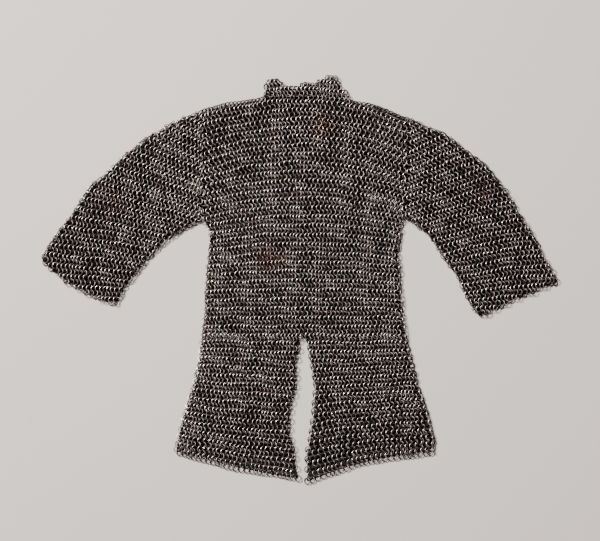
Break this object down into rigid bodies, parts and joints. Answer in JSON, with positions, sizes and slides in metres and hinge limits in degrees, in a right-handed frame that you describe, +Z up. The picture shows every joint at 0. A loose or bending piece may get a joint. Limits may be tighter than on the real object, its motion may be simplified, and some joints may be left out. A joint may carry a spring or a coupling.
{
  "type": "chainmail hauberk, laid flat",
  "caption": "Chainmail hauberk laid flat on its back, with a low standing collar, sleeves to the forearm and skirts split by a slit.",
  "frame": {"origin": "on the ground, under the middle of the laid garment's outline", "axes": "+X to the wearer's left, along the spread of the sleeves; +Y to the collar; +Z up, out of the front layer"},
  "size_m": [0.966, 0.76, 0.0166],
  "materials": {
    "mail": "dark oxidised steel wire, worn bright on the tops of the rings"
  },
  "bodies": {
    "root": {"front_right": "mail", "front_left": "mail", "back": "mail", "skirt_front_right": "mail", "skirt_front_left": "mail", "skirt_back_right": "mail", "skirt_back_left": "mail", "sleeve_right_front": "mail", "sleeve_right_back": "mail", "sleeve_left_front": "mail", "sleeve_left_back": "mail", "collar_front": "mail", "collar_back": "mail"}
  },
  "joints": []
}
